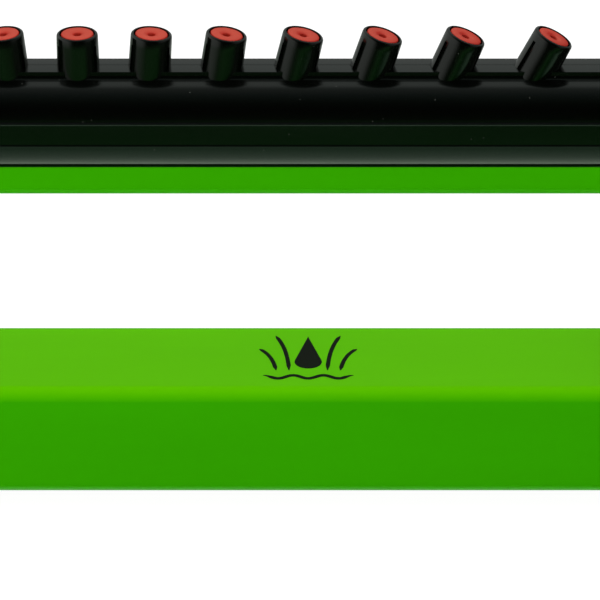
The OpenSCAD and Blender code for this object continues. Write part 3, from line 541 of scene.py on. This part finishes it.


# each plastic's side and top shades differ by painted light: a painted lit top and painted shade where the
# surface turns away from up
plastics = {
    "limePlastic": {
        "paintedSideShade": (0.038, 0.44, 0.0), "paintedTopShade": (0.106, 0.5, 0.0), "turn": (0.0, 1.0),
        "shine": 0.14, "tint": (0.35, 1.0, 0.0), "ior": 1.3, "rough": 0.34, "drift": 0.12,
        "grain": 1500, "mottle": 0.03, "bump": 0.1,
        "speckSize": 350, "dust": 0.003, "dustShade": (0.16, 0.5, 0.05)},
    "blackGlossPlastic": {
        # painted reflection: the side shade's green tint stands for the lime beam and lower shell reflected
        # in the black gloss
        "paintedSideShade": (0.0012, 0.0025, 0.0012), "paintedTopShade": (0.0006, 0.0008, 0.0006), "turn": (0.0, 0.4),
        "shine": 0.5, "tint": (1.0, 1.0, 1.0), "ior": 1.5, "rough": 0.17, "drift": 0.1,
        "grain": 1200, "mottle": 0.1, "bump": 0.12,
        "speckSize": 340, "dust": 0.35, "dustShade": (0.045, 0.05, 0.045)},
    "blackPlastic": {
        "paintedSideShade": (0.005, 0.0065, 0.005), "paintedTopShade": (0.006, 0.007, 0.0062), "turn": (0.0, 1.0),
        "shine": 0.5, "tint": (1.0, 1.0, 1.0), "ior": 1.5, "rough": 0.32, "drift": 0.2,
        "grain": 1400, "mottle": 0.12, "bump": 0.35,
        "speckSize": 420, "dust": 0.012, "dustShade": (0.05, 0.055, 0.05)},
    "redPlastic": {
        "paintedSideShade": (0.42, 0.012, 0.008), "paintedTopShade": (0.52, 0.02, 0.012), "turn": (0.0, 1.0),
        "shine": 0.4, "tint": (1.0, 1.0, 1.0), "ior": 1.5, "rough": 0.3, "drift": 0.15,
        "grain": 1400, "mottle": 0.05, "bump": 0.2,
        "speckSize": 420, "dust": 0.004, "dustShade": (0.5, 0.2, 0.15)},
    "nozzleRubber": {
        # painted shade: the side shade darkens the dish, pit and sides, and the top shade is a painted lit
        # top on the flat ring
        "paintedSideShade": (0.31, 0.013, 0.006), "paintedTopShade": (0.385, 0.049, 0.031), "turn": (0.8, 1.0),
        "shine": 0.25, "tint": (1.0, 1.0, 1.0), "ior": 1.5, "rough": 0.62, "drift": 0.1,
        "grain": 3200, "mottle": 0.08, "bump": 0.5,
        "speckSize": 1500, "dust": 0.05, "dustShade": (0.6, 0.16, 0.12)},
    "blackRubber": {
        "paintedSideShade": (0.012, 0.012, 0.012), "paintedTopShade": (0.02, 0.02, 0.02), "turn": (0.0, 1.0),
        "shine": 0.3, "tint": (1.0, 1.0, 1.0), "ior": 1.5, "rough": 0.75, "drift": 0.1,
        "grain": 2600, "mottle": 0.15, "bump": 0.6,
        "speckSize": 600, "dust": 0.03, "dustShade": (0.09, 0.09, 0.085)},
    "printInk": {
        "paintedSideShade": (0.002, 0.0035, 0.0015), "paintedTopShade": (0.003, 0.005, 0.002), "turn": (0.0, 1.0),
        "shine": 0.1, "tint": (1.0, 1.0, 1.0), "ior": 1.4, "rough": 0.5, "drift": 0.15,
        "grain": 1800, "mottle": 0.25, "bump": 0.15,
        "speckSize": 900, "dust": 0.02, "dustShade": (0.03, 0.14, 0.006)},
    # painted shade: the gasket's dark green stands for the lime shell's ledge in shadow under the skirt
    "gasketRubberPaintedShade": {
        "paintedSideShade": (0.0015, 0.026, 0.0008), "paintedTopShade": (0.003, 0.036, 0.001), "turn": (0.0, 1.0),
        "shine": 0.2, "tint": (1.0, 1.0, 1.0), "ior": 1.5, "rough": 0.7, "drift": 0.1,
        "grain": 2600, "mottle": 0.15, "bump": 0.4,
        "speckSize": 600, "dust": 0.01, "dustShade": (0.01, 0.03, 0.01)},
    "whitePlastic": {
        "paintedSideShade": (0.66, 0.65, 0.6), "paintedTopShade": (0.74, 0.73, 0.69), "turn": (0.0, 1.0),
        "shine": 0.35, "tint": (1.0, 1.0, 1.0), "ior": 1.5, "rough": 0.45, "drift": 0.1,
        "grain": 1600, "mottle": 0.03, "bump": 0.2,
        "speckSize": 500, "dust": 0.004, "dustShade": (0.4, 0.39, 0.36)},
}
materials = {name: makePlastic(name, look) for name, look in plastics.items()}


steelLook = {"shade": (0.56, 0.56, 0.58), "dim": 0.8, "rough": 0.28, "drift": 0.3, "grain": 2600, "bump": 0.2}


def makeSteel():
    material, tree = newMaterial("screwSteel")
    link = tree.links.new
    shader = newNode(tree, "ShaderNodeBsdfPrincipled", (500, 0))
    shader.inputs["Metallic"].default_value = 1
    out = newNode(tree, "ShaderNodeOutputMaterial", (800, 0))
    skin = placeGroup(tree, mouldSkin, (-300, 0), Grain_size=steelLook["grain"], Gloss=steelLook["rough"],
                      Gloss_drift=steelLook["drift"])
    shades = newNode(tree, "ShaderNodeMix", (0, 200), data_type="RGBA")
    shades.inputs[6].default_value = tuple(c * steelLook["dim"] for c in steelLook["shade"]) + (1,)
    shades.inputs[7].default_value = steelLook["shade"] + (1,)
    bump = newNode(tree, "ShaderNodeBump", (200, -200))
    bump.inputs["Strength"].default_value = steelLook["bump"]
    bump.inputs["Distance"].default_value = bumpDepth
    link(skin.outputs["Tone"], shades.inputs[0])
    link(shades.outputs[2], shader.inputs["Base Color"])
    link(skin.outputs["Roughness"], shader.inputs["Roughness"])
    link(skin.outputs["Height"], bump.inputs["Height"])
    link(bump.outputs[0], shader.inputs["Normal"])
    link(shader.outputs[0], out.inputs[0])
    return material


materials["screwSteel"] = makeSteel()
slotOf = {s["node"]: s["material_slot"] for s in frame["record"]["subparts"]}
finishes = {"lime_plastic": "limePlastic", "black_gloss": "blackGlossPlastic",
            "black_plastic": "blackPlastic", "nozzle_rubber": "nozzleRubber", "red_plastic": "redPlastic",
            "gear_plastic": "whitePlastic", "black_rubber": "blackRubber", "steel": "screwSteel"}
for nodeName, node in nodes.items():
    node.data.materials.clear()
    node.data.materials.append(materials[finishes[slotOf[nodeName]]])
print("materials ready")


# ---- spray bar ----

# Y and Z from the bar's axis, in mm, and angles in degrees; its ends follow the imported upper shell
barLook = {"stripHalf": 4.2, "stripTop": 14.0, "hair": 0.07, "camber": 0.07, "draft": 0.06,
           "fillet": 1.1, "filletStart": 86, "slope": 18,
           "shoulderTop": 12.0, "shoulderR": 8.2, "shoulderHalf": 12.0, "shoulderEnd": 88,
           "faceHalf": 12.4, "faceTop": 3.06, "bead": 0.05, "beadHigh": 0.62, "beadLow": 0.12,
           "ledge": 0.25, "ledgeHigh": 0.2, "ledgeLow": 0.3,
           "skirtHalf": 12.7, "skirtTop": -2.28, "skirtTilt": 3, "skirtTurn": 14, "skirtFoot": -7.66,
           "wall": 2.0, "endWall": 3.0, "edge": 0.1, "sharp": 25, "arcSteps": 20, "smallSteps": 8}

# the gasket's lips, a dark sheet of painted shadow laid over the lower shell's rim where the skirt shades it:
# how far they reach out, their share of its thickness, and how near its side they start
paintedShadowLipLook = {"reach": 1.22, "thin": 0.16, "near": 0.1}


def upperOutline():
    b = barLook
    top, hair = b["stripTop"], b["hair"]
    half = [(0, top - hair), (hair * 2, top - hair), (hair * 3.5, top), (b["stripHalf"] * 0.5, top),
            (b["stripHalf"], top - b["camber"])]
    # a hollow fillet joins the strip's drafted side to the shoulder's slope
    slope, start, filletR = math.radians(b["slope"]), math.radians(b["filletStart"]), b["fillet"]
    slopeY = b["shoulderHalf"] - b["shoulderR"] * (1 - math.sin(slope))
    slopeZ = b["shoulderTop"] - b["shoulderR"] * (1 - math.cos(slope))
    middleY = b["stripHalf"] + b["draft"] + filletR
    middleZ = slopeZ + (slopeY - middleY) * math.tan(slope) + filletR / math.cos(slope)
    for k in range(b["smallSteps"] + 1):
        turn = start + (slope - start) * k / b["smallSteps"]
        half.append((middleY - filletR * math.sin(turn), middleZ - filletR * math.cos(turn)))
    for k in range(b["arcSteps"] + 1):
        turn = slope + (math.radians(b["shoulderEnd"]) - slope) * k / b["arcSteps"]
        half.append((b["shoulderHalf"] - b["shoulderR"] * (1 - math.sin(turn)),
                     b["shoulderTop"] - b["shoulderR"] * (1 - math.cos(turn))))
    # the flat face lies between two fine beads
    half += [(b["faceHalf"] + b["bead"], b["faceTop"] + b["beadHigh"]),
             (b["faceHalf"] - b["bead"], b["faceTop"] + b["beadLow"]),
             (b["faceHalf"] - b["bead"], b["skirtTop"] + b["ledge"] + b["ledgeHigh"]),
             (b["skirtHalf"] + b["bead"] * 0.6, b["skirtTop"] + b["ledgeLow"])]
    low, high = math.radians(b["skirtTilt"]), math.radians(b["skirtTilt"] + b["skirtTurn"])
    radius = (b["skirtTop"] - b["skirtFoot"]) / (math.sin(high) - math.sin(low))
    for k in range(b["smallSteps"] + 1):
        turn = low + (high - low) * k / b["smallSteps"]
        half.append((b["skirtHalf"] - radius * (math.cos(low) - math.cos(turn)),
                     b["skirtTop"] - radius * (math.sin(turn) - math.sin(low))))
    return half + [(-y, z) for y, z in reversed(half[1:])]


# the shell's inside, open below
def hollowOutline():
    b = barLook
    wide, top = b["shoulderHalf"] - b["wall"], b["shoulderTop"] - b["wall"]
    radius = b["shoulderR"] - b["wall"]
    half = [(0, top)]
    for k in range(b["arcSteps"] + 1):
        turn = math.radians(90 * k / b["arcSteps"])
        half.append((wide - radius * (1 - math.sin(turn)), top - radius * (1 - math.cos(turn))))
    half.append((wide, b["skirtFoot"] - 1))  # past the foot, so the cut comes out below
    return half + [(-y, z) for y, z in reversed(half[1:])]


def makeUpperShell():
    low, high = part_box("bar_upper_shell")
    outline = [(y, z + axisZ / mm) for y, z in upperOutline()]
    inside = [(y, z + axisZ / mm) for y, z in hollowOutline()]
    shell = extruded("barUpperShell", outline, low.x / mm, high.x / mm)
    hollow = extruded("barHollow", inside, low.x / mm + barLook["endWall"], high.x / mm - barLook["endWall"])
    cut = shell.modifiers.new("cutHollow", "BOOLEAN")
    cut.operation = "DIFFERENCE"
    cut.solver = "EXACT"
    cut.object = hollow
    applyAll(shell)
    bpy.data.objects.remove(hollow)
    smoothByAngle(shell, barLook["sharp"])
    roundEdges(shell, barLook["edge"], 3, barLook["sharp"])
    return shell


# mm from the strip's top; the slots stand at these degrees, each reaching so many sides from its middle
towerLook = {"sides": 60, "topR": 5.03, "footR": 5.26, "foot": -5.0, "top": 8.4, "rimRound": 0.62,
             "seatR": 4.34, "seatDepth": 1.9, "seatEdge": 0.1,
             "slotTop": 6.0, "slotFoot": -4.6, "slotDeep": 0.8, "slotInside": 4.5, "slotReach": 1.2,
             "slotsAt": (30, 150, 210, 330)}


# one nozzle tower, upright with the strip's top at height 0
def makeTower():
    t = towerLook
    step = (t["footR"] - t["topR"]) / (t["top"] - t["foot"])

    def wide(z):
        return t["footR"] - step * (z - t["foot"])

    arc = [(t["topR"] - t["rimRound"] * (1 - math.cos(a)), t["top"] - t["rimRound"] * (1 - math.sin(a)))
           for a in (math.radians(d) for d in (0, 30, 60, 90))]
    rings = [(wide(t[height]), t[height]) for height in ("foot", "slotFoot", "slotTop")]
    rings += arc + [(t["seatR"] + t["seatEdge"], t["top"]), (t["seatR"], t["top"] - t["seatEdge"]),
                    (t["seatR"], t["top"] - t["seatDepth"])]
    tower = turned("tower", rings, t["sides"])
    turn = math.tau / t["sides"]
    pick(tower)
    bpy.ops.object.mode_set(mode="EDIT")
    for degrees in t["slotsAt"]:
        at = math.radians(degrees)
        inward = Vector((-math.cos(at), -math.sin(at), 0)) * t["slotDeep"] * mm

        def inSlot(middle, part, corners, at=at):
            off = (math.atan2(middle.y, middle.x) - at + math.pi) % math.tau - math.pi
            tall = t["slotFoot"] * mm < middle.z < t["slotTop"] * mm
            return tall and abs(off) < turn * t["slotReach"] and middle.xy.length > t["slotInside"] * mm

        selectWhere(tower, "face", inSlot)
        bpy.ops.mesh.extrude_region_move(TRANSFORM_OT_translate={"value": inward})
    bpy.ops.object.mode_set(mode="OBJECT")
    smoothByAngle(tower, 35)
    return tower


# the nozzles lean away from one point below the bar: degrees from one to the next, mm from the strip's top
fan = {"step": 4.34, "radius": 229.6, "count": 17}


def fanned(piece, number, name):
    pick(piece)
    bpy.ops.object.duplicate()
    copy = bpy.context.object
    copy.name = name
    copy.data.name = name
    low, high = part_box("bar_upper_shell")
    lean = math.radians((number - 1 - (fan["count"] - 1) / 2) * fan["step"])
    copy.location = ((low.x + high.x) / 2 + fan["radius"] * mm * math.tan(lean), 0,
                     axisZ + barLook["stripTop"] * mm)
    copy.rotation_euler = (0, lean, 0)
    applyPlace(copy)
    return copy


insertLook = {"sides": 56, "headR": 3.96, "round": 0.28, "top": 8.33, "foot": 6.8, "crown": 0.03,
              "dishR": 1.75, "dishDeep": 0.35, "dishRim": 0.25, "dishDrop": 0.05, "dishBow": 0.55,
              "pitR": 0.9, "pitDeep": 1.35, "pitRim": 0.06, "pitDrop": 0.08, "pitDraft": 0.12,
              "boreR": 0.4, "boreDeep": 2.6, "boreRim": 0.1, "boreDraft": 0.9, "edgeCut": 0.3}


# soft nozzle: a flat ring, a shallow dish and a pit with a small dark bore
def makeInsert():
    n = insertLook
    top, edge = n["top"], n["round"]
    brim = top + n["crown"]
    rings = [(n["headR"], n["foot"]), (n["headR"], top - edge),
             (n["headR"] - edge * n["edgeCut"], top - edge * n["edgeCut"]), (n["headR"] - edge, top),
             (n["dishR"] + n["dishRim"], brim), (n["dishR"], brim - n["dishDrop"]),
             ((n["dishR"] + n["pitR"]) / 2, brim - n["dishDeep"] * n["dishBow"]),
             (n["pitR"] + n["pitRim"], brim - n["dishDeep"]),
             (n["pitR"], brim - n["dishDeep"] - n["pitDrop"]),
             (n["pitR"] - n["pitDraft"], top - n["pitDeep"]),
             (n["boreR"] + n["boreRim"], top - n["pitDeep"] - n["boreRim"]),
             (n["boreR"], top - n["pitDeep"] - n["boreRim"] * 2),
             (n["boreR"] * n["boreDraft"], top - n["boreDeep"])]
    insert = turned("insert", rings, n["sides"])
    smoothByAngle(insert, 50)
    return insert


def makeSprayBar():
    shell = makeUpperShell()
    tower = makeTower()
    towers = [fanned(tower, n, f"tower{n:02d}") for n in range(1, fan["count"] + 1)]
    pick(shell, *towers)
    bpy.ops.object.join()
    dress(shell, "spray_bar", materials["blackGlossPlastic"], "black_gloss", "bar_upper_shell")
    insert = makeInsert()
    for n in range(1, fan["count"] + 1):
        soft = fanned(insert, n, f"nozzleInsert{n:02d}")
        dress(soft, "spray_bar", materials["nozzleRubber"], "nozzle_rubber", f"nozzle_insert_{n:02d}")
    for spare in (tower, insert):
        bpy.data.objects.remove(spare)
    gasket = softCopy("bar_gasket", "barGasket", 0.03, 1)
    reach = max(abs(vertex.co.y) for vertex in gasket.data.vertices)
    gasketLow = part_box("bar_gasket")[0].z
    pick(gasket)
    bpy.ops.object.mode_set(mode="EDIT")
    # painted shadow: each lip is a dark sheet over the lower shell's shaded rim
    for side in (-1, 1):  # a thin lip on each long edge lies over the lower shell's rim
        selectWhere(gasket, "face",
                    lambda middle, part, corners: middle.y * side > reach - paintedShadowLipLook["near"] * mm)
        bpy.ops.transform.resize(value=(1, 1, paintedShadowLipLook["thin"]), center_override=(0, 0, gasketLow))
        outward = side * paintedShadowLipLook["reach"] * mm
        bpy.ops.mesh.extrude_region_move(TRANSFORM_OT_translate={"value": (0, outward, 0)})
    bpy.ops.object.mode_set(mode="OBJECT")
    dress(gasket, "spray_bar", materials["gasketRubberPaintedShade"], "black_rubber", "bar_gasket")
    lower = softCopy("bar_lower_shell", "barLowerShell", 0.12, 2)
    dress(lower, "spray_bar", materials["limePlastic"], "lime_plastic", "bar_lower_shell")


makeSprayBar()
print("spray bar ready")


# ---- printed sign on the beam ----

# a tall drop between bent spray lines, over a wave line; places in mm from its middle, X then Y
printLook = {"thick": 0.05, "sink": 0.02, "middle": (-0.3, 0.2),
             "dropR": 3.5, "dropAt": -2.8, "dropTip": 13.4,
             "sprays": [(4.9, -7.2, 5.3, 4.5, 8.4, 11.0), (8.2, -7.2, 9.2, 1.0, 12.6, 4.0)],
             "spraySteps": 32, "lineWide": 1.1,
             "wave": -10.6, "waveLength": 23, "waveWide": 1.3, "waveHigh": 0.8, "waves": 3, "waveSteps": 60}


# a flat outline at the beam's top face, given its thickness
def printed(name, outline):
    deselectAll()
    bpy.ops.mesh.primitive_circle_add(
        vertices=len(outline), radius=1, fill_type="NGON", location=(0, 0, 0))
    piece = bpy.context.object
    piece.name = name
    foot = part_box("base_beam")[1].z - printLook["sink"] * mm
    midX, midY = printLook["middle"]
    for vertex, (x, y) in zip(piece.data.vertices, outline):
        vertex.co = ((x + midX) * mm, (y + midY) * mm, foot)
    bpy.ops.object.mode_set(mode="EDIT")
    bpy.ops.mesh.select_all(action="SELECT")
    bpy.ops.mesh.extrude_region_move(TRANSFORM_OT_translate={"value": (0, 0, printLook["thick"] * mm)})
    bpy.ops.mesh.select_all(action="SELECT")
    bpy.ops.mesh.normals_make_consistent(inside=False)
    bpy.ops.object.mode_set(mode="OBJECT")
    return piece


# teardrop about a middle, with its tip at a height above it
def dropOutline(x, y, radius, tip, steps=36):
    reach = math.degrees(math.acos(radius / tip))
    points = [(0, tip)]
    for k in range(steps + 1):
        at = math.radians(90 - reach - (360 - 2 * reach) * k / steps)
        points.append((radius * math.cos(at), radius * math.sin(at)))
    return [(x + px, y + py) for px, py in points]


# a line of even width that tapers off at its ends, along points
def strokeOutline(points, wide):
    left, right = [], []
    for k, (x, y) in enumerate(points):
        before, after = points[max(k - 1, 0)], points[min(k + 1, len(points) - 1)]
        run = Vector((after[0] - before[0], after[1] - before[1])).normalized()
        along = k / (len(points) - 1)
        half = wide / 2 * min(1, 8 * (0.5 - abs(along - 0.5)) + 0.2)
        left.append((x - run.y * half, y + run.x * half))
        right.append((x + run.y * half, y - run.x * half))
    return left + right[::-1]


# a point at a share of the way along a bent spray line, given its start, its bend and its end
def sprayPoint(spray, side, share):
    x0, y0, x1, y1, x2, y2 = spray
    first, bend, last = (1 - share) ** 2, 2 * share * (1 - share), share * share
    return side * (first * x0 + bend * x1 + last * x2), first * y0 + bend * y1 + last * y2


def makeBeamPrint():
    w = printLook
    shapes = [printed("beamPrint", dropOutline(0, w["dropAt"], w["dropR"], w["dropTip"]))]
    for spray in w["sprays"]:
        for side in (-1, 1):
            line = [sprayPoint(spray, side, k / w["spraySteps"]) for k in range(w["spraySteps"] + 1)]
            shapes.append(printed("printLine", strokeOutline(line, w["lineWide"])))
    wave = []
    for k in range(w["waveSteps"] + 1):
        share = k / w["waveSteps"]
        wave.append((w["waveLength"] * (share - 0.5),
                     w["wave"] + w["waveHigh"] * math.cos(math.tau * w["waves"] * share)))
    shapes.append(printed("printLine", strokeOutline(wave, w["waveWide"])))
    pick(*shapes)
    bpy.ops.object.join()
    dress(shapes[0], "base", materials["printInk"], "black_plastic")


makeBeamPrint()
print("print ready")


# ---- pieces that keep the CAD shape, with rounded edges ----

# node: (piece name, edge radius in mm, segments)
softened = {
    "left_foot": ("leftFoot", 0.9, 3), "right_foot": ("rightFoot", 0.9, 3),
    "pivot_post": ("pivotPost", 0.6, 3), "beam_caps": ("beamCaps", 0.5, 3),
    "housing_shell": ("housingShell", 1.0, 3), "housing_cover": ("housingCover", 0.5, 3),
    "hose_adapter": ("hoseAdapter", 0.4, 2), "hose_tail": ("hoseTail", 0.25, 2),
    "flow_knob": ("flowKnob", 0.4, 2), "end_plug": ("endPlug", 0.4, 2),
    "range_ring_a": ("rangeRingFront", 0.15, 2), "range_ring_b": ("rangeRingBack", 0.15, 2),
    "trip_lever": ("tripLever", 0.35, 2), "bar_trunnion": ("barTrunnion", 0.25, 2),
    "bar_neck": ("barNeck", 0.25, 2), "post_bush": ("postBush", 0.2, 2),
    "neck_bush": ("neckBush", 0.15, 2), "foot_pads": ("footPads", 0.3, 2),
    "base_beam": ("baseBeam", 0.15, 2), "cover_screws": ("coverScrews", 0.15, 2),
}
shortEdged = ("range_ring_a", "range_ring_b")
bodyOf = {n: body for body, members in frame["record"]["behaviour"]["bodies"].items() for n in members}
for nodeName, (pieceName, width, segments) in softened.items():
    piece = softCopy(nodeName, pieceName, width, segments, shortEdges=nodeName in shortEdged)
    slotName = slotOf[nodeName]
    dress(piece, bodyOf[nodeName], materials[finishes[slotName]], slotName, nodeName)
print("edges rounded on", len(softened), "pieces")

print("done")
